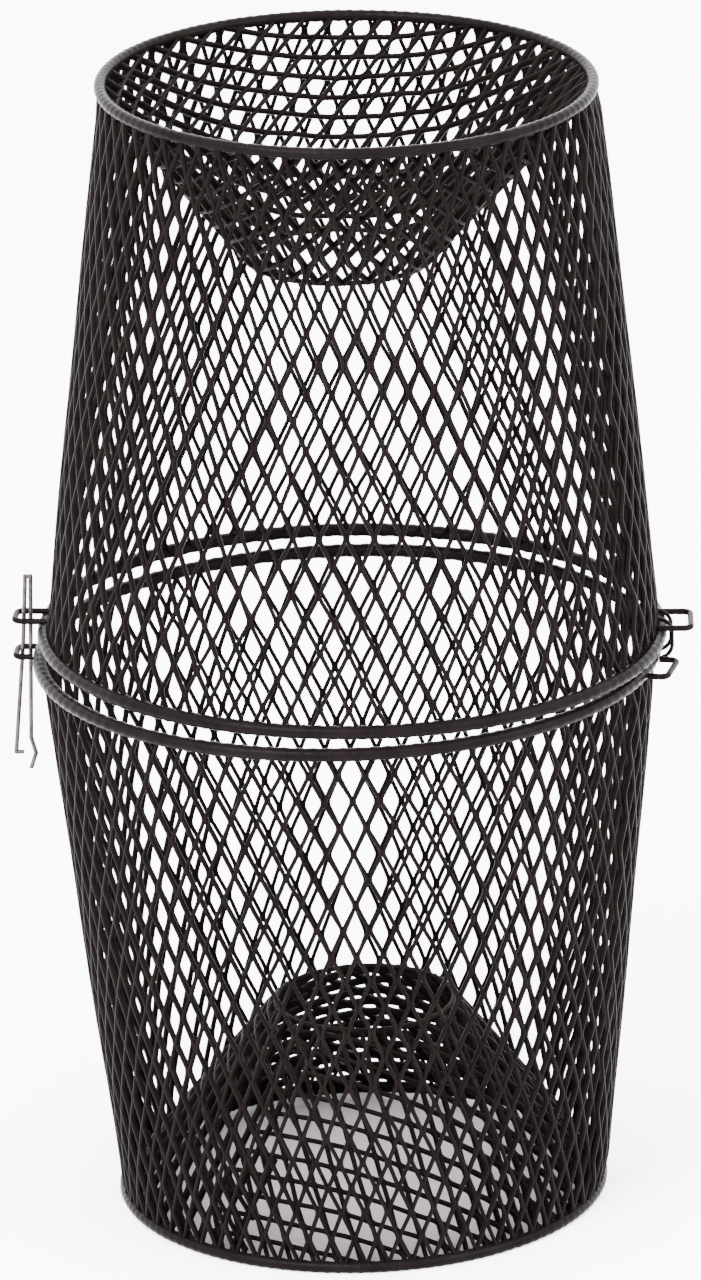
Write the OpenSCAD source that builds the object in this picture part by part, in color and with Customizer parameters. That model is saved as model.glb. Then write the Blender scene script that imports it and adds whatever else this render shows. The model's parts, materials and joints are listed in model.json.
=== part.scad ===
// Two-part wire funnel trap: two tapered mesh halves that meet at a wide rim,
// with a funnel sunk into each end, hinged at one side and pinned at the other.
// Millimetres. +Z is up, the origin is on the axis of the lower half at its base,
// the hinge is at +X and the latch clip is at -X.

/* [Body] */
// Height of each half, from the middle of its end ring to the middle of its rim
half_h = 223.3; // [180:1:260]
// Radius of the end rings, to the middle of the rod
mouth_r = 95.4; // [80:0.2:105]
// Radius of the rims, to the middle of the rod
rim_r = 121.2; // [112:0.2:135]
// How far inside the rim rod the wall mesh joins it
wall_inset = 1.8; // [0:0.1:2]
// Depth of the lower entrance funnel
lower_funnel_h = 76; // [50:1:90]
// Depth of the upper entrance funnel
upper_funnel_h = 70; // [50:1:90]
// Radius of the round throat at the inner end of each funnel
throat_r = 35.5; // [25:0.5:45]

/* [Rods and mesh] */
// Diameter of the hoop rods in the rims and end rings
rod_d = 3.2; // [2.4:0.1:4]
// Diameter over the mesh that is rolled round a rim rod
rim_hem_d = 5.8; // [5:0.1:7]
// Diameter over the mesh that is rolled round an end ring rod
mouth_hem_d = 5; // [4.6:0.1:6]
// Diameter of the folded edge round a throat
throat_hem_d = 2.4; // [1.6:0.1:3]
// Thickness of a mesh wall, taken as a closed skin
mesh_t = 0.8; // [0.6:0.1:1.2]
// Height cut from the base of an end ring, which leaves its flat land
land_cut = 0.2; // [0.1:0.05:0.4]

/* [Stance] */
// Angle by which the upper half stands open at rest
ajar = 1.1; // [0:0.1:2]
// How far the loose hinge lets the upper half sit towards the hinge
rim_shift = 2.2; // [0:0.1:2.4]
// Clear gap between the two rims at the hinge
rim_gap = 0.8; // [0.3:0.1:1]

/* [Eyes] */
// Diameter of the wire that the four eyes are bent from
eye_d = 2.4; // [2:0.1:3]
// Distance between the two legs of an eye that the clip goes through
latch_eye_w = 12.5; // [11:0.5:16]
// Distance between the two legs of a spare eye
spare_eye_w = 20; // [16:0.5:22]
// Radius from the axis to the cross bar of the lower eyes
lower_eye_r = 131; // [130.8:0.1:132]
// Radius from the axis to the cross bar of the upper eyes
upper_eye_r = 133.2; // [132.5:0.1:134]
// Bend radius at the corners of an eye
eye_bend = 3; // [2:0.5:4]
// Height of the upper eyes above the rod of their rim
upper_eye_lift = 2.9; // [2:0.1:3.2]
// Height of the lower eyes above the rod of their rim
lower_eye_lift = -0.5; // [-1.5:0.1:0.5]
// Direction of the two eyes that the clip goes through
latch_az = 174.9; // [172:0.1:178]
// Direction of the spare eye of the upper half, beside the hinge
upper_spare_az = -1.5; // [-2.5:0.1:-0.5]
// Direction of the spare eye of the lower half
lower_spare_az = -14.5; // [-20:0.5:-13]

/* [Hinge rings] */
// Diameter of the wire of a hinge ring
ring_d = 1.6; // [1.2:0.1:1.8]
// Half of the clear width inside a hinge ring
ring_in = 4.7; // [4.6:0.05:5]
// Half of the straight length of a hinge ring's sides
ring_side = 2.6; // [2.4:0.1:2.8]
// Places of the two hinge rings along the hinge
ring_y = [-7.3, 2.7];

/* [Clip] */
// Diameter of the spring wire of the clip
clip_d = 1.7; // [1.4:0.1:1.8]
// Length of the clip's spine above the lower eye
clip_up = 31.5; // [28:0.5:34]
// Distance between the two legs at the bend
clip_pitch = 2.2; // [2.1:0.1:2.4]
// Lean of the clip towards the trap at its top
clip_lean = 2; // [1.5:0.1:2.2]
// Distance between the two legs at the hooked end
clip_splay = 5.9; // [5.5:0.1:6.5]
// Length of the sprung arm below the lower eye
arm_down = 42; // [38:0.5:46]

/* [Hidden] */
$fn = 96;
wire_fn = 32;
rod_r = rod_d / 2;
rim_hem_r = rim_hem_d / 2;
mouth_hem_r = mouth_hem_d / 2;
throat_hem_r = throat_hem_d / 2;
rod_play = 0.03;
eye_wire_r = eye_d / 2;
clip_wire_r = clip_d / 2;
ring_wire_r = ring_d / 2;

// heights, with the halves closed
mouth_z = mouth_hem_r - land_cut;
lower_rim_z = mouth_z + half_h;
rim_pitch = rim_hem_d + rim_gap;
upper_rim_z = lower_rim_z + rim_pitch;
top_mouth_z = upper_rim_z + half_h;

// the hinge runs along Y through the upper rim rod, between the rings
ring_mid_y = (ring_y[0] + ring_y[1]) / 2;
rod_x = sqrt(rim_r * rim_r - ring_mid_y * ring_mid_y);
hinge_x = rod_x + rim_shift;

// openings in the walls where the hinge rings pass through
slot_w = 3.4;
slot_h = 7.5;

// where the clip stands
clip_x = -124.9;
clip_y = 9.6;
stub = 3;
joint_gap = 0.15;
keeper_z = -36;
keeper_x = 1.9;
keeper_drop = 6.4;
arm_knee = [-3, 3.5];
hook_reach = 3.2;

// colours
vinyl = [0.14, 0.12, 0.115];
vinyl_mesh = [0.18, 0.155, 0.15];
bare_rod = [0.45, 0.45, 0.46];
zinc = [0.68, 0.68, 0.69];

HALF_PARTS = ["wall", "rim_hoop", "rim_hem", "mouth_hoop", "mouth_hem",
              "funnel", "throat_hem", "latch_eye", "spare_eye"];

// ---- shapes shared by the parts ----

// round bar bent into a hoop: r to its middle, z up, wire radius w
module hoop(r, z, w) {
    translate([0, 0, z])
        rotate_extrude()
            translate([r, 0])
                circle(r = w, $fn = wire_fn);
}

// conical skin of thickness mesh_t between two points [radius, height]
module skin(p, q) {
    run = norm(q - p);
    side = [q[1] - p[1], p[0] - q[0]] * mesh_t / 2 / run;
    rotate_extrude()
        polygon([p - side, p + side, q + side, q - side]);
}

// straight wire of radius w between p and q, two points [x, z] in the plane y = 0
module straight_wire(p, q, w) {
    step = q - p;
    translate([p[0], 0, p[1]])
        rotate([0, atan2(step[0], step[1]), 0])
            cylinder(r = w, h = norm(step), $fn = wire_fn);
}

// the rounded corner where two wires of radius w meet at p
module corner(p, w) {
    translate([p[0], 0, p[1]])
        sphere(r = 1.08 * w, $fn = wire_fn);
}

// quarter bend of radius r in wire of radius w, from +X to +Y round the origin
module quarter_bend(r, w) {
    rotate_extrude(angle = 90)
        translate([r, 0])
            circle(r = w, $fn = wire_fn);
}

// ---- one half, mouth down, with the middle of its end ring at z = 0 ----

module half_wall() {
    color(vinyl_mesh)
        difference() {
            skin([mouth_r, 0], [rim_r - wall_inset, half_h]);
            hoop(rim_r, half_h, rim_hem_r);
            hoop(mouth_r, 0, mouth_hem_r);
            for (y = ring_y)
                translate([rod_x - slot_h, y - slot_w / 2, half_h - slot_h])
                    cube([2 * slot_h, slot_w, 2 * slot_h]);
        }
}

module half_rim_hoop() {
    color(bare_rod)
        hoop(rim_r, half_h, rod_r);
}

module half_rim_hem() {
    color(vinyl)
        translate([0, 0, half_h])
            rotate_extrude()
                translate([rim_r, 0])
                    difference() {
                        circle(r = rim_hem_r, $fn = wire_fn);
                        circle(r = rod_r + rod_play, $fn = wire_fn);
                    }
}

module half_mouth_hoop() {
    color(bare_rod)
        hoop(mouth_r, 0, rod_r);
}

// the rolled edge round the end ring, flat underneath where it stands
module half_mouth_hem() {
    color(vinyl)
        rotate_extrude()
            translate([mouth_r, 0])
                difference() {
                    circle(r = mouth_hem_r, $fn = wire_fn);
                    circle(r = rod_r + rod_play, $fn = wire_fn);
                    translate([-mouth_hem_d, -mouth_z - mouth_hem_d])
                        square([2 * mouth_hem_d, mouth_hem_d]);
                }
}

module half_funnel(depth) {
    color(vinyl_mesh)
        difference() {
            skin([mouth_r, 0], [throat_r, depth]);
            hoop(mouth_r, 0, mouth_hem_r);
            hoop(throat_r, depth, throat_hem_r);
        }
}

module half_throat_hem(depth) {
    color(vinyl)
        hoop(throat_r, depth, throat_hem_r);
}

// U-shaped eye that stands out from the rim, lift above the rim's rod
module half_eye(az, width, reach, lift) {
    straight = width / 2 - eye_bend;
    start = rim_r - 0.8;
    color(vinyl)
        difference() {
            rotate([0, 0, az])
                translate([0, 0, half_h + lift]) {
                    for (side = [-1, 1]) {
                        translate([start, side * width / 2, 0])
                            rotate([0, 90, 0])
                                cylinder(r = eye_wire_r, h = reach - eye_bend - start, $fn = wire_fn);
                        translate([reach - eye_bend, side * straight, 0])
                            rotate([0, 0, side < 0 ? -90 : 0])
                                quarter_bend(eye_bend, eye_wire_r);
                    }
                    translate([reach, straight, 0])
                        rotate([90, 0, 0])
                            cylinder(r = eye_wire_r, h = 2 * straight, $fn = wire_fn);
                }
            hoop(rim_r, half_h, rim_hem_r);
        }
}

module half_part(name, depth) {
    if (name == "wall") half_wall();
    if (name == "rim_hoop") half_rim_hoop();
    if (name == "rim_hem") half_rim_hem();
    if (name == "mouth_hoop") half_mouth_hoop();
    if (name == "mouth_hem") half_mouth_hem();
    if (name == "funnel") half_funnel(depth);
    if (name == "throat_hem") half_throat_hem(depth);
}

module lower_part(name) {
    translate([0, 0, mouth_z]) {
        half_part(name, lower_funnel_h);
        if (name == "latch_eye")
            half_eye(latch_az, latch_eye_w, lower_eye_r, lower_eye_lift);
        if (name == "spare_eye")
            half_eye(lower_spare_az, spare_eye_w, lower_eye_r, lower_eye_lift);
    }
}

// the upper half is the same half turned mouth up and swung open by ajar
module upper_part(name) {
    translate([hinge_x, 0, upper_rim_z])
        rotate([0, ajar, 0])
            translate([rim_shift - hinge_x, 0, half_h])
                mirror([0, 0, 1]) {
                    half_part(name, upper_funnel_h);
                    if (name == "latch_eye")
                        half_eye(latch_az, latch_eye_w, upper_eye_r, -upper_eye_lift);
                    if (name == "spare_eye")
                        half_eye(upper_spare_az, spare_eye_w, upper_eye_r, -upper_eye_lift);
                }
}

// ---- hinge and clip ----

// long ring of wire that holds the two rims together, in the plane y = place
module hinge_ring(place) {
    turn = ring_in + ring_wire_r;
    color(vinyl)
        translate([rod_x + rim_shift / 2, place, lower_rim_z + rim_pitch / 2])
            rotate([90, 0, 0]) {
                for (end = [-1, 1]) {
                    translate([0, end * ring_side, 0])
                        rotate([0, 0, end < 0 ? 180 : 0])
                            rotate_extrude(angle = 180)
                                translate([turn, 0])
                                    circle(r = ring_wire_r, $fn = wire_fn);
                    translate([end * turn, ring_side, 0])
                        rotate([90, 0, 0])
                            cylinder(r = ring_wire_r, h = 2 * ring_side, $fn = wire_fn);
                }
            }
}

// places the clip: its spine runs along Z through the lower eye
module clip_place() {
    translate([clip_x, clip_y, lower_rim_z])
        rotate([0, clip_lean, 0])
            children();
}

// the spine, the squared bend at its top and the keeper bend at its foot
module clip_spine() {
    w = clip_wire_r;
    stub_end = [-clip_pitch, clip_up - stub];
    outer_corner = [-clip_pitch, clip_up];
    inner_corner = [0, clip_up];
    keeper_top = [0, keeper_z];
    keeper_peak = [keeper_x, keeper_z - keeper_drop];
    keeper_end = [0, keeper_z - 2 * keeper_drop];
    color(zinc)
        clip_place() {
            straight_wire(stub_end, outer_corner, w);
            corner(outer_corner, w);
            straight_wire(outer_corner, inner_corner, w);
            corner(inner_corner, w);
            straight_wire(inner_corner, keeper_top, w);
            corner(keeper_top, w);
            straight_wire(keeper_top, keeper_peak, w);
            corner(keeper_peak, w);
            straight_wire(keeper_peak, keeper_end, w);
        }
}

// the sprung arm, which ends in a short hook turned in towards the spine
module clip_arm() {
    w = clip_wire_r;
    top = [-clip_pitch, clip_up - stub - joint_gap];
    foot = [-clip_splay, -arm_down];
    color(zinc)
        clip_place() {
            straight_wire(top, arm_knee, w);
            corner(arm_knee, w);
            straight_wire(arm_knee, foot, w);
            corner(foot, w);
            straight_wire(foot, foot + [hook_reach, 0], w);
        }
}

for (name = HALF_PARTS) {
    lower_part(name);
    upper_part(name);
}
hinge_ring(ring_y[0]);  // hinge_ring_front
hinge_ring(ring_y[1]);  // hinge_ring_back
clip_spine();
clip_arm();
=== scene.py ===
"""Two-part wire mesh funnel trap: looks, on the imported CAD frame. Metres, +Z up."""
import json
import math

import bpy
import numpy as np
from mathutils import Matrix, Vector


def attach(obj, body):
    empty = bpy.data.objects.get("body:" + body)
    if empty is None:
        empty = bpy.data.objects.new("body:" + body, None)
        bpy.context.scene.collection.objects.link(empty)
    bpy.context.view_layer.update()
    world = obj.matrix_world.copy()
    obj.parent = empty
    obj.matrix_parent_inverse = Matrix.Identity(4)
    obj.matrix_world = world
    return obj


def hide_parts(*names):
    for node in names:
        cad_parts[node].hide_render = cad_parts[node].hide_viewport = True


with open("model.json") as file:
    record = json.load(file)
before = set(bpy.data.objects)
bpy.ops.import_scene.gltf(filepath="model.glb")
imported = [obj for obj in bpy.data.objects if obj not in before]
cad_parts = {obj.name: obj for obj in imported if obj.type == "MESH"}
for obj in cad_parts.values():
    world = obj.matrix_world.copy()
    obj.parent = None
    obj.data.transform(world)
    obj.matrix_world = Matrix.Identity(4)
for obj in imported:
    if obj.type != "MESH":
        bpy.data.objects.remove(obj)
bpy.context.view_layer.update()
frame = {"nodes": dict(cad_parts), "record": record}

MM = 0.001
FULL_TURN = 2 * math.pi

# ---- sizes of the frame, as in part.scad ----
HALF_H = 223.3 * MM
MOUTH_R = 95.4 * MM
RIM_R = 121.2 * MM
WALL_INSET = 1.8 * MM
FUNNEL_H = {"lower": 76 * MM, "upper": 70 * MM}
THROAT_R = 35.5 * MM
THROAT_HEM_R = 1.2 * MM
RIM_HEM_R = 2.9 * MM
MOUTH_HEM_R = 2.5 * MM
MOUTH_Z = 2.3 * MM
RIM_PITCH = 6.6 * MM
RIM_SHIFT = 2.2 * MM
AJAR = math.radians(1.1)
HINGE_X = 123.378 * MM
RING_Y = (-7.3 * MM, 2.7 * MM)
RING_HALF_GAP = 2.1 * MM

# ---- strands: half width across the surface, and half thickness through it ----
WALL_STRAND = (0.86 * MM, 1.3 * MM)
LAP_STRAND = (0.86 * MM, 1.2 * MM)
FUNNEL_STRAND = (1.0 * MM, 1.8 * MM)
STRAND_SIDES = 6
# places along a strand from one bond to the next, closer together at the bonds
STEPS = np.array((0, 0.07, 0.14, 0.32, 0.5, 0.68, 0.86, 0.93))
# share of that way that lies in a bond at each end, and how softly the strand leaves it
BOND_SHARE = 0.08
SOFTNESS = 0.12
# how far the mesh bulges in and out of its cone
BULGE = 0.5 * MM

# ---- mesh of the walls ----
WALL_COLUMNS = 67
WALL_ROWS = 20
# how far the rows of bonds are set towards the mouth, in rows
WALL_PHASE = 0.42
# turn of each half's mesh in columns, and how many rows it climbs over a full turn
WALL_LAY = {"lower": (0.25, 0.72), "upper": (0.0, -0.38)}
# half the distance between two strands in a bond
WALL_HALF_PAIR = 0.5 * MM
# slow unevenness of the bonds, then each bond's own error: round the wall and up it
SLOW_TURN = 0.0025
SLOW_RISE = 0.6 * MM
BOND_TURN = 0.0016
BOND_RISE = 0.22 * MM
# how far a strand may run past an edge, and what share of that is left once it is pressed in
OVERRUN = 0.8 * MM
PRESSED = 0.05
# the bulge and the lap fade out over this distance from an edge
WALL_FADE = 12 * MM
# direction where the mesh climbs back, and the stretch that the lapped seam covers
SEAM = -0.2
LAP_SPAN = (-0.42, 0.02)
# the lap's mesh is out of step with the wall's, in rows and in columns
LAP_PHASE = 0.55
LAP_SHIFT = 0.38
LAP_LIFT = 1.3 * MM
# the wall's slots for the hinge rings: how far they reach down from the rim, and their taper
RING_REACH = 11 * MM
RING_TAPER = 3 * MM

# ---- netting of the funnels: cell size, and how each sheet lies on its cone ----
NET_COLUMNS = 34
NET_ROWS = 36
NET_ACROSS = 9.7 * MM
NET_ALONG = 18.2 * MM
NET_HALF_PAIR = 0.46 * MM
NET_ERROR = (0.15 * MM, 0.2 * MM)
# where one run of strands is level, where the seam is, and how far the sheet is turned
NET_LAY = {"lower": (math.radians(-120), math.radians(-135), math.radians(-62)),
           "upper": (math.radians(90), math.radians(-47), math.radians(62))}
# angle that the seam laps by, and the angle over which the lap rises
FUNNEL_LAP = 0.26
LAP_RISE = 0.5
FUNNEL_OVERRUN = 0.4 * MM
FUNNEL_FADE = 10 * MM
# a cut strand needs more points than this to be kept
SHORTEST_RUN = 3
# how far each throat stands to one side of the axis
THROAT_SET = {"lower": 2.6 * MM, "upper": -3.6 * MM}

# ---- hems ----
HEM_SIDES = 16
POINTS_PER_RIB = 3
RIM_RIBS = 2 * WALL_COLUMNS
THROAT_RIBS = 60
# depth of the grooves between ribs as a share of the hem's radius, then two scales of roughness
RIB_DEPTH = 0.11
DIP_RUNS = 0.1 * MM
DIP_GRAIN = 0.04 * MM


# ---- camera ----


def add_camera():
    """Camera at the photograph's angle: long lens, a little above the trap, slightly rolled."""
    elevation = math.radians(19.315)
    roll = math.radians(-1.794)
    distance = 4.147457
    aim = Vector((0.00139, 0.0, 0.22965))
    forward = Vector((0, math.cos(elevation), -math.sin(elevation)))
    right = Vector((1, 0, 0))
    up = right.cross(forward)
    right_rolled = right * math.cos(roll) + up * math.sin(roll)
    up_rolled = up * math.cos(roll) - right * math.sin(roll)
    data = bpy.data.cameras.new("camera")
    data.sensor_fit = "VERTICAL"
    data.sensor_height = 24
    data.lens = 197.45025
    data.clip_end = 50
    camera = bpy.data.objects.new("camera", data)
    bpy.context.scene.collection.objects.link(camera)
    axes = Matrix((right_rolled, up_rolled, -forward)).transposed().to_4x4()
    camera.matrix_world = Matrix.Translation(aim - forward * distance) @ axes
    bpy.context.scene.camera = camera


# ---- materials ----


def new_material(name):
    material = bpy.data.materials.new(name)
    material.use_nodes = True
    nodes = material.node_tree.nodes
    return material, nodes, material.node_tree.links, nodes["Principled BSDF"]


def noise(nodes, links, coords, scale, detail=3, rough=0.55):
    node = nodes.new("ShaderNodeTexNoise")
    node.inputs["Scale"].default_value = scale
    node.inputs["Detail"].default_value = detail
    node.inputs["Roughness"].default_value = rough
    links.new(coords, node.inputs["Vector"])
    return node.outputs["Fac"]


def ramp(nodes, links, factor, stops):
    node = nodes.new("ShaderNodeValToRGB")
    while len(node.color_ramp.elements) < len(stops):
        node.color_ramp.elements.new(0.5)
    for element, (place, color) in zip(node.color_ramp.elements, stops):
        element.position = place
        element.color = (*color, 1)
    links.new(factor, node.inputs["Fac"])
    return node.outputs["Color"]


def spread(nodes, links, factor, low, high):
    node = nodes.new("ShaderNodeMapRange")
    node.inputs["To Min"].default_value = low
    node.inputs["To Max"].default_value = high
    links.new(factor, node.inputs["Value"])
    return node.outputs["Result"]


def bump(nodes, links, height, distance, strength, shader):
    node = nodes.new("ShaderNodeBump")
    node.inputs["Strength"].default_value = strength
    node.inputs["Distance"].default_value = distance
    links.new(height, node.inputs["Height"])
    links.new(node.outputs["Normal"], shader.inputs["Normal"])


def vinyl_material(name, dark, light, rough, shine):
    """Dipped black vinyl: small runs and pimples, patches of duller and shinier skin."""
    material, nodes, links, shader = new_material(name)
    coords = nodes.new("ShaderNodeTexCoord").outputs["Object"]
    patches = noise(nodes, links, coords, scale=60, detail=4)
    links.new(ramp(nodes, links, patches, ((0.3, dark), (0.7, light))), shader.inputs["Base Color"])
    skin = noise(nodes, links, coords, scale=350)
    links.new(spread(nodes, links, skin, rough - 0.1, rough + 0.14), shader.inputs["Roughness"])
    grain = noise(nodes, links, coords, scale=1400, detail=2)
    bump(nodes, links, grain, distance=0.4 * MM, strength=0.35, shader=shader)
    shader.inputs["Specular IOR Level"].default_value = shine
    return material


def wire_material(name, dark, light, rough):
    """Galvanised or drawn wire: faint crystal patches and fine drawing marks."""
    material, nodes, links, shader = new_material(name)
    coords = nodes.new("ShaderNodeTexCoord").outputs["Object"]
    patches = noise(nodes, links, coords, scale=220, detail=4, rough=0.65)
    links.new(ramp(nodes, links, patches, ((0.35, dark), (0.65, light))), shader.inputs["Base Color"])
    marks = noise(nodes, links, coords, scale=1100)
    links.new(spread(nodes, links, marks, rough - 0.08, rough + 0.12), shader.inputs["Roughness"])
    bump(nodes, links, marks, distance=0.3 * MM, strength=0.25, shader=shader)
    shader.inputs["Metallic"].default_value = 1.0
    return material


# ---- mesh building ----


def make_piece(name, verts, faces, material, body, replaced):
    """A piece of the trap from arrays of points and faces, riding on its body."""
    data = bpy.data.meshes.new(name)
    data.from_pydata(verts.tolist(), [], faces)
    data.validate()
    data.shade_smooth()
    data.materials.append(material)
    piece = bpy.data.objects.new(name, data)
    bpy.context.scene.collection.objects.link(piece)
    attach(piece, body)
    if replaced:
        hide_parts(*replaced)
    return piece


def sweep(paths, normals, wide, thick):
    """Tubes along many paths at once: arrays (n, m, 3), wide across the surface, thick along normals."""
    count, steps, _ = paths.shape
    tangents = np.gradient(paths, axis=1)
    tangents /= np.linalg.norm(tangents, axis=2, keepdims=True)
    across = np.cross(tangents, normals)
    across /= np.linalg.norm(across, axis=2, keepdims=True)
    outward = np.cross(across, tangents)
    turn = np.arange(STRAND_SIDES) * FULL_TURN / STRAND_SIDES
    rings = (paths[:, :, None, :] + across[:, :, None, :] * np.cos(turn)[:, None] * wide
             + outward[:, :, None, :] * np.sin(turn)[:, None] * thick)
    index = np.arange(count * steps * STRAND_SIDES).reshape(count, steps, STRAND_SIDES)
    here, ahead = index[:, :-1], index[:, 1:]
    quads = np.stack((here, np.roll(here, -1, axis=2), np.roll(ahead, -1, axis=2), ahead), axis=-1)
    ends = index[:, 0, ::-1].tolist() + index[:, -1].tolist()
    return rings.reshape(-1, 3), quads.reshape(-1, 4).tolist() + ends


def join(parts):
    """One (points, faces) pair from several."""
    verts, faces, start = [], [], 0
    for points, polys in parts:
        verts.append(points)
        faces += [[i + start for i in poly] for poly in polys]
        start += len(points)
    return np.concatenate(verts), faces


def placed(points, faces, side):
    """Moves a half's points, mouth down at the origin, to where the lower or the upper half is."""
    if side == "lower":
        return points + np.array((0, 0, MOUTH_Z)), faces
    mirrored = points * np.array((1, 1, -1))
    mirrored += np.array((RIM_SHIFT - HINGE_X, 0, HALF_H))
    turned = np.empty_like(mirrored)
    turned[:, 0] = mirrored[:, 0] * math.cos(AJAR) + mirrored[:, 2] * math.sin(AJAR)
    turned[:, 1] = mirrored[:, 1]
    turned[:, 2] = mirrored[:, 2] * math.cos(AJAR) - mirrored[:, 0] * math.sin(AJAR)
    rim_z = MOUTH_Z + HALF_H + RIM_PITCH
    return turned + np.array((HINGE_X, 0, rim_z)), [poly[::-1] for poly in faces]


def waves(theta, height, seed, turns=(2, 3, 5, 9), rises=(0, 18, 31, 57)):
    """Smooth unevenness, mostly between -1 and 1, over the angle and the height."""
    rng = np.random.default_rng(seed)
    total = 0
    for turn, rise in zip(turns, rises):
        total = total + np.sin(turn * theta + rise * height + rng.uniform(0, FULL_TURN))
    usual_peak = 1.4
    return total / len(turns) ** 0.5 / usual_peak


def cone_points(theta, slant, start, end, lift):
    """Points and outward normals on the cone from start to end, each (radius, height)."""
    run, rise = end[0] - start[0], end[1] - start[1]
    length = math.hypot(run, rise)
    radius = start[0] + run * slant / length
    height = start[1] + rise * slant / length
    normal_r, normal_z = rise / length, -run / length
    radius = radius + normal_r * lift
    height = height + normal_z * lift
    points = np.stack((radius * np.cos(theta), radius * np.sin(theta), height), axis=-1)
    normals = np.stack((normal_r * np.cos(theta), normal_r * np.sin(theta),
                        np.full_like(theta, normal_z)), axis=-1)
    return points, normals


def eased(u):
    """0 to 1 with a flat stretch at each end, softly rounded."""
    t = np.clip((u - BOND_SHARE) / (1 - 2 * BOND_SHARE), 0, 1)
    return t + SOFTNESS * (t * t * (3 - 2 * t) - t)


# ---- walls ----


def wall_bonds(k, pitch, phase, shift, drift, seed):
    """Angles and slant heights of a wall's bonds: a row of them for each number in k."""
    rng = np.random.default_rng(seed)
    i = np.arange(WALL_COLUMNS)
    theta = (i[None, :] + 0.5 * (k[:, None] % 2) + shift) * FULL_TURN / WALL_COLUMNS
    s = np.broadcast_to((k[:, None] - phase) * pitch, theta.shape).copy()
    s += drift * pitch * ((theta - SEAM) % FULL_TURN) / FULL_TURN
    theta = theta + waves(theta, s, seed + 1) * SLOW_TURN
    s += waves(theta, s, seed + 2) * SLOW_RISE
    theta += rng.normal(0, BOND_TURN, theta.shape)
    s += rng.normal(0, BOND_RISE, s.shape)
    return theta, s


def wall_strands(bond_theta, bond_s, k, phase):
    """Strands that zigzag from bond to bond, first all that lean one way, then the others."""
    i = np.arange(WALL_COLUMNS)
    all_theta, all_s = [], []
    for way in (1, -1):
        theta_rows, s_rows = [], []
        for step in range(len(k) - 1):
            pair = []
            for row in (step, step + 1):
                even = k[row] % 2 == 0
                column = i if even or way > 0 else i - 1
                theta = bond_theta[row][column]
                if not even and way < 0:
                    theta = np.where(i == 0, theta - FULL_TURN, theta)
                radius = MOUTH_R + (RIM_R - MOUTH_R) * (k[row] - phase) / WALL_ROWS
                hand = (1 if even else -1) * way
                pair.append((theta + hand * WALL_HALF_PAIR / radius, bond_s[row][column]))
            (theta_a, s_a), (theta_b, s_b) = pair
            for u in STEPS:
                theta_rows.append(theta_a + (theta_b - theta_a) * eased(u))
                s_rows.append(s_a + (s_b - s_a) * u)
        all_theta.append(np.stack(theta_rows, axis=1))
        all_s.append(np.stack(s_rows, axis=1))
    return np.concatenate(all_theta), np.concatenate(all_s)


def diamond_wall(phase, shift, drift, seed, window=None, lift=0.0):
    """Paths and normals of a wall's strands, trimmed to its edges.

    Phase and shift set the mesh in rows and in columns, and drift is the rows it climbs over a full
    turn from the seam. A window keeps the strands between two directions; lift raises them.
    """
    start, end = (MOUTH_R, 0.0), (RIM_R - WALL_INSET, HALF_H)
    length = math.hypot(end[0] - start[0], end[1] - start[1])
    pitch = length / WALL_ROWS
    k = np.arange(-2, WALL_ROWS + 3)
    bond_theta, bond_s = wall_bonds(k, pitch, phase, shift, drift, seed)
    theta, s = wall_strands(bond_theta, bond_s, k, phase)
    mean_s = s.mean(axis=0)
    spare = OVERRUN + abs(drift) * pitch / 2
    keep = (mean_s > -spare) & (mean_s < length + spare)
    theta, s = theta[:, keep], s[:, keep]
    # what runs past an edge is pressed into the hem
    s = np.where(s < 0, s * PRESSED, np.where(s > length, length + (s - length) * PRESSED, s))
    if window:
        middle = (theta.mean(axis=1) + math.pi) % FULL_TURN - math.pi
        inside = (middle > window[0]) & (middle < window[1])
        theta, s = theta[inside], s[inside]
    fade = np.clip(np.minimum(s, length - s) / WALL_FADE, 0, 1)
    bulge = (waves(theta, s, seed + 3) * BULGE + lift) * fade
    points, normals = cone_points(theta, s, start, end, bulge)
    return part_for_rings(points), normals


def part_for_rings(points):
    """Pushes strands aside where the hinge rings pass through the wall."""
    x, y, z = points[..., 0], points[..., 1], points[..., 2]
    near = (x > 0) * np.clip((z - HALF_H + RING_REACH) / RING_TAPER, 0, 1)
    for ring in RING_Y:
        off = y - ring
        push = np.clip(RING_HALF_GAP - np.abs(off), 0, None) * near
        y = y + np.where(off >= 0, push, -push)
    return np.stack((x, y, z), axis=-1)


def wall_piece(side, seed, material):
    """A half's mesh wall, and the lap of its seam as a second layer."""
    shift, drift = WALL_LAY[side]
    paths, normals = diamond_wall(WALL_PHASE, shift, drift, seed)
    verts, faces = placed(*sweep(paths, normals, *WALL_STRAND), side)
    make_piece(f"{side}_mesh_wall", verts, faces, material, f"{side}_half",
               [f"{side}_wall"])
    lap, lap_normals = diamond_wall(WALL_PHASE + LAP_PHASE, shift + LAP_SHIFT, drift, seed + 40,
                                    LAP_SPAN, LAP_LIFT)
    verts, faces = placed(*sweep(lap, lap_normals, *LAP_STRAND), side)
    make_piece(f"{side}_mesh_wall_lap", verts, faces, material, f"{side}_half", [])


# ---- funnels ----


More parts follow.
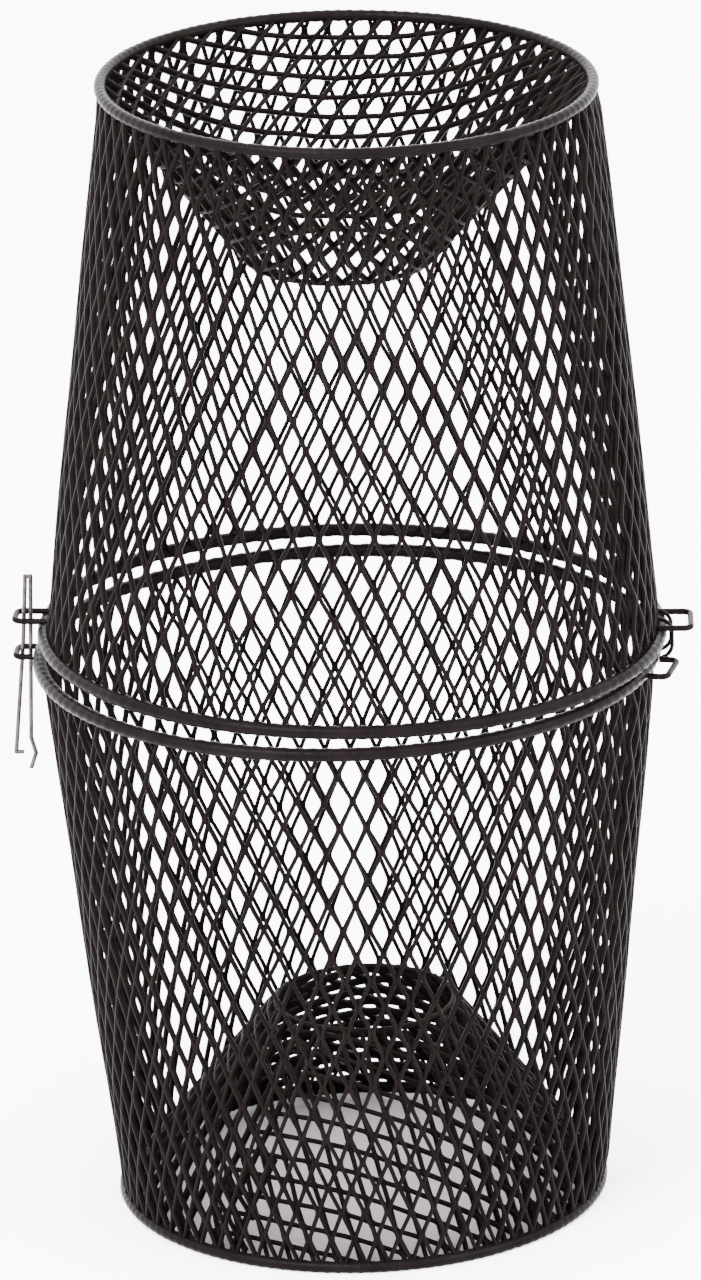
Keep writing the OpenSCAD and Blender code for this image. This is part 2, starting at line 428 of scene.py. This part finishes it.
def netting(seed):
    """Flat diamond netting round the origin, its long way along y: strand points x and y."""
    rng = np.random.default_rng(seed)
    i = np.arange(NET_COLUMNS)
    k = np.arange(NET_ROWS)
    bond_x = (i[None, :] - NET_COLUMNS / 2 + 0.5 * (k[:, None] % 2)) * NET_ACROSS
    bond_y = np.broadcast_to((k[:, None] - NET_ROWS / 2) * NET_ALONG / 2, bond_x.shape)
    bond_x = bond_x + rng.normal(0, NET_ERROR[0], bond_x.shape)
    bond_y = bond_y + rng.normal(0, NET_ERROR[1], bond_x.shape)
    all_x, all_y = [], []
    for way in (1, -1):
        x_rows, y_rows = [], []
        for row in range(NET_ROWS - 1):
            even = row % 2 == 0
            here = i[1:] if even or way > 0 else i[:-1]
            ahead = i[1:] if not even or way > 0 else i[:-1]
            offset = (1 if even else -1) * way * NET_HALF_PAIR
            x_a, x_b = bond_x[row][here] + offset, bond_x[row + 1][ahead] - offset
            y_a, y_b = bond_y[row][here], bond_y[row + 1][ahead]
            for u in STEPS:
                x_rows.append(x_a + (x_b - x_a) * eased(u))
                y_rows.append(y_a + (y_b - y_a) * u)
        all_x.append(np.stack(x_rows, axis=1))
        all_y.append(np.stack(y_rows, axis=1))
    return np.concatenate(all_x), np.concatenate(all_y)


def funnel_strands(side, seed):
    """Strands of a funnel: flat netting rolled into a cone, with a lapped seam."""
    depth = FUNNEL_H[side]
    level, seam, across = NET_LAY[side]
    start, end = (MOUTH_R, 0.0), (THROAT_R, depth)
    length = math.hypot(end[0] - start[0], depth)
    taper = (MOUTH_R - THROAT_R) / length
    mouth_reach = MOUTH_R / taper
    x, y = netting(seed)
    sheet_x = x * math.cos(across) - y * math.sin(across)
    sheet_y = x * math.sin(across) + y * math.cos(across)
    # the cone's point is at the sheet's origin, so angles on the sheet are shares of the turn
    middle = taper * (seam - level + math.pi)
    turn = np.arctan2(sheet_x, sheet_y)
    turn = (turn - middle + math.pi) % FULL_TURN - math.pi + middle
    theta = level + turn / taper
    slant = mouth_reach - np.hypot(sheet_x, sheet_y)
    lap = (theta - seam - FULL_TURN + LAP_RISE) / LAP_RISE
    lift = np.clip(lap, 0, 1) * LAP_LIFT
    slant += waves(theta, slant, seed + 1) * BULGE
    fade = np.clip(np.minimum(slant, length - slant) / FUNNEL_FADE, 0, 1)
    bulge = (waves(theta, slant, seed + 3) * BULGE + lift) * fade
    on_cone = (slant > -FUNNEL_OVERRUN) & (slant < length)
    inside = on_cone & (theta > seam) & (theta < seam + FULL_TURN + FUNNEL_LAP)
    points, normals = cone_points(theta, slant, start, end, bulge)
    parts = []
    for strand in range(len(points)):
        edges = np.flatnonzero(np.diff(np.concatenate(([0], inside[strand], [0]))))
        for first, last in zip(edges[::2], edges[1::2]):
            if last - first > SHORTEST_RUN:
                parts.append(sweep(points[None, strand, first:last],
                                   normals[None, strand, first:last], *FUNNEL_STRAND))
    return join(parts)


def off_axis(points, side):
    """Slides a funnel's points sideways with depth: its throat is not quite on the axis."""
    depth = np.clip(points[:, 2] / FUNNEL_H[side], 0, 1)
    return points + np.outer(depth, (THROAT_SET[side], 0, 0))


def funnel_piece(side, seed, material):
    """A half's mesh funnel, and the folded edge round its throat."""
    points, faces = funnel_strands(side, seed)
    hem_points, hem_faces = hem(THROAT_R, FUNNEL_H[side], THROAT_HEM_R, THROAT_RIBS, seed + 5)
    verts, polys = placed(off_axis(hem_points, side), hem_faces, side)
    make_piece(f"{side}_folded_throat", verts, polys, material, f"{side}_half",
               [f"{side}_throat_hem"])
    verts, faces = placed(off_axis(points, side), faces, side)
    make_piece(f"{side}_mesh_funnel", verts, faces, material, f"{side}_half",
               [f"{side}_funnel"])


# ---- hems ----


def hem(radius, height, size, ribs, seed, flat=None):
    """Rolled edge: a ring whose skin shows the strands under the vinyl as faint ribs."""
    around = ribs * POINTS_PER_RIB
    theta = np.arange(around) * FULL_TURN / around
    turn = np.arange(HEM_SIDES) * FULL_TURN / HEM_SIDES
    rib = np.cos(theta * ribs)[:, None] * 0.5 + 0.5
    rng = np.random.default_rng(seed)
    uneven = waves(theta, 0 * theta, seed + 1, (3, 7, 13, 29))[:, None]
    section = size - RIB_DEPTH * size * (1 - rib) - DIP_RUNS * (1 + uneven) / 2
    section = section - rng.uniform(0, DIP_GRAIN, (around, HEM_SIDES))
    reach = radius + section * np.cos(turn)
    rise = section * np.sin(turn)
    if flat is not None:
        rise = np.maximum(rise, flat)
    points = np.stack((reach * np.cos(theta)[:, None], reach * np.sin(theta)[:, None],
                       height + rise), axis=-1)
    index = np.arange(around * HEM_SIDES).reshape(around, HEM_SIDES)
    ahead = np.roll(index, -1, axis=0)
    quads = np.stack((index, ahead, np.roll(ahead, -1, axis=1), np.roll(index, -1, axis=1)), axis=-1)
    return points.reshape(-1, 3), quads.reshape(-1, 4).tolist()


def rim_piece(side, seed, material):
    """The mesh rolled round the rod inside a half's rim."""
    verts, faces = placed(*hem(RIM_R, HALF_H, RIM_HEM_R, RIM_RIBS, seed), side)
    make_piece(f"{side}_rolled_rim", verts, faces, material, f"{side}_half",
               [f"{side}_rim_hem"])


def mouth_piece(side, seed, material):
    """The mesh rolled round the rod inside a half's end ring, with the flat it stands on."""
    verts, faces = placed(*hem(MOUTH_R, 0.0, MOUTH_HEM_R, RIM_RIBS, seed, flat=-MOUTH_Z), side)
    make_piece(f"{side}_rolled_mouth", verts, faces, material, f"{side}_half",
               [f"{side}_mouth_hem"])


def build_half(side, seed, mesh_vinyl, vinyl):
    wall_piece(side, seed, mesh_vinyl)
    funnel_piece(side, seed + 7, mesh_vinyl)
    rim_piece(side, seed + 11, vinyl)
    mouth_piece(side, seed + 12, vinyl)


# ---- floor and light ----


def add_floor():
    """Pale paper, with a painted shadow that darkens it to grey-lilac inside the bottom ring, where it
    is seen through the mesh.
    """
    bpy.ops.mesh.primitive_plane_add(size=14, location=(0, 0, 0))
    floor = bpy.context.object
    floor.name = "floor"
    material, nodes, links, shader = new_material("floor_paper")
    coords = nodes.new("ShaderNodeTexCoord").outputs["Object"]
    tone = noise(nodes, links, coords, scale=3, detail=2)
    paper = ramp(nodes, links, tone, ((0.3, (0.9, 0.89, 0.9)), (0.7, (0.93, 0.92, 0.93))))
    reach = nodes.new("ShaderNodeVectorMath")
    reach.operation = "LENGTH"
    links.new(coords, reach.inputs[0])
    # painted shadow: the paper's colour is multiplied by grey-lilac inside the bottom ring and fades
    # back to plain paper just past the ring's hem
    inside_ring, past_ring = 0.088, 0.097
    near = ((inside_ring, (0.2, 0.18, 0.2)), (past_ring, (1.0, 1.0, 1.0)))
    painted_shadow_mix = nodes.new("ShaderNodeMix")
    painted_shadow_mix.data_type = "RGBA"
    painted_shadow_mix.blend_type = "MULTIPLY"
    painted_shadow_mix.inputs["Factor"].default_value = 1.0
    links.new(paper, painted_shadow_mix.inputs["A"])
    links.new(ramp(nodes, links, reach.outputs["Value"], near), painted_shadow_mix.inputs["B"])
    links.new(painted_shadow_mix.outputs["Result"], shader.inputs["Base Color"])
    shader.inputs["Roughness"].default_value = 0.9
    floor.data.materials.append(material)


def add_area(name, place, size, power):
    """Square area light, aimed at the middle of the trap."""
    data = bpy.data.lights.new(name, "AREA")
    data.shape = "RECTANGLE"
    data.size = size
    data.size_y = size
    data.energy = power
    light = bpy.data.objects.new(name, data)
    light.location = place
    aim = Vector((0, 0, 0.25)) - Vector(place)
    light.rotation_euler = aim.to_track_quat("-Z", "Y").to_euler()
    bpy.context.scene.collection.objects.link(light)


def add_light():
    world = bpy.data.worlds.new("studio")
    bpy.context.scene.world = world
    world.use_nodes = True
    sky = world.node_tree.nodes["Background"]
    sky.inputs["Color"].default_value = (1.0, 0.99, 1.0, 1)
    sky.inputs["Strength"].default_value = 10.0
    add_area("key", place=(-1.2, -1.9, 2.4), size=1.4, power=380)
    add_area("fill", place=(2.0, -1.2, 1.6), size=1.6, power=130)


add_camera()

VINYL_DARK = (0.0013, 0.0008, 0.0008)
mesh_vinyl = vinyl_material("mesh_vinyl_dip", VINYL_DARK, (0.003, 0.002, 0.0019), rough=0.5, shine=0.012)
vinyl = vinyl_material("hem_vinyl_dip", VINYL_DARK, (0.003, 0.0021, 0.0021), rough=0.28, shine=0.013)
rod_steel = wire_material("drawn_rod", (0.3, 0.3, 0.31), (0.42, 0.42, 0.43), rough=0.38)
zinc = wire_material("galvanised_wire", (0.018, 0.0145, 0.016), (0.055, 0.047, 0.051), rough=0.36)

SLOT_MATERIALS = {"mesh_vinyl": mesh_vinyl, "vinyl": vinyl, "hoop_steel": rod_steel, "zinc_wire": zinc}
for part in frame["record"]["subparts"]:
    node = frame["nodes"][part["node"]]
    node.data.materials.clear()
    node.data.materials.append(SLOT_MATERIALS[part["material_slot"]])

build_half("lower", 100, mesh_vinyl, vinyl)
build_half("upper", 200, mesh_vinyl, vinyl)

add_floor()
add_light()
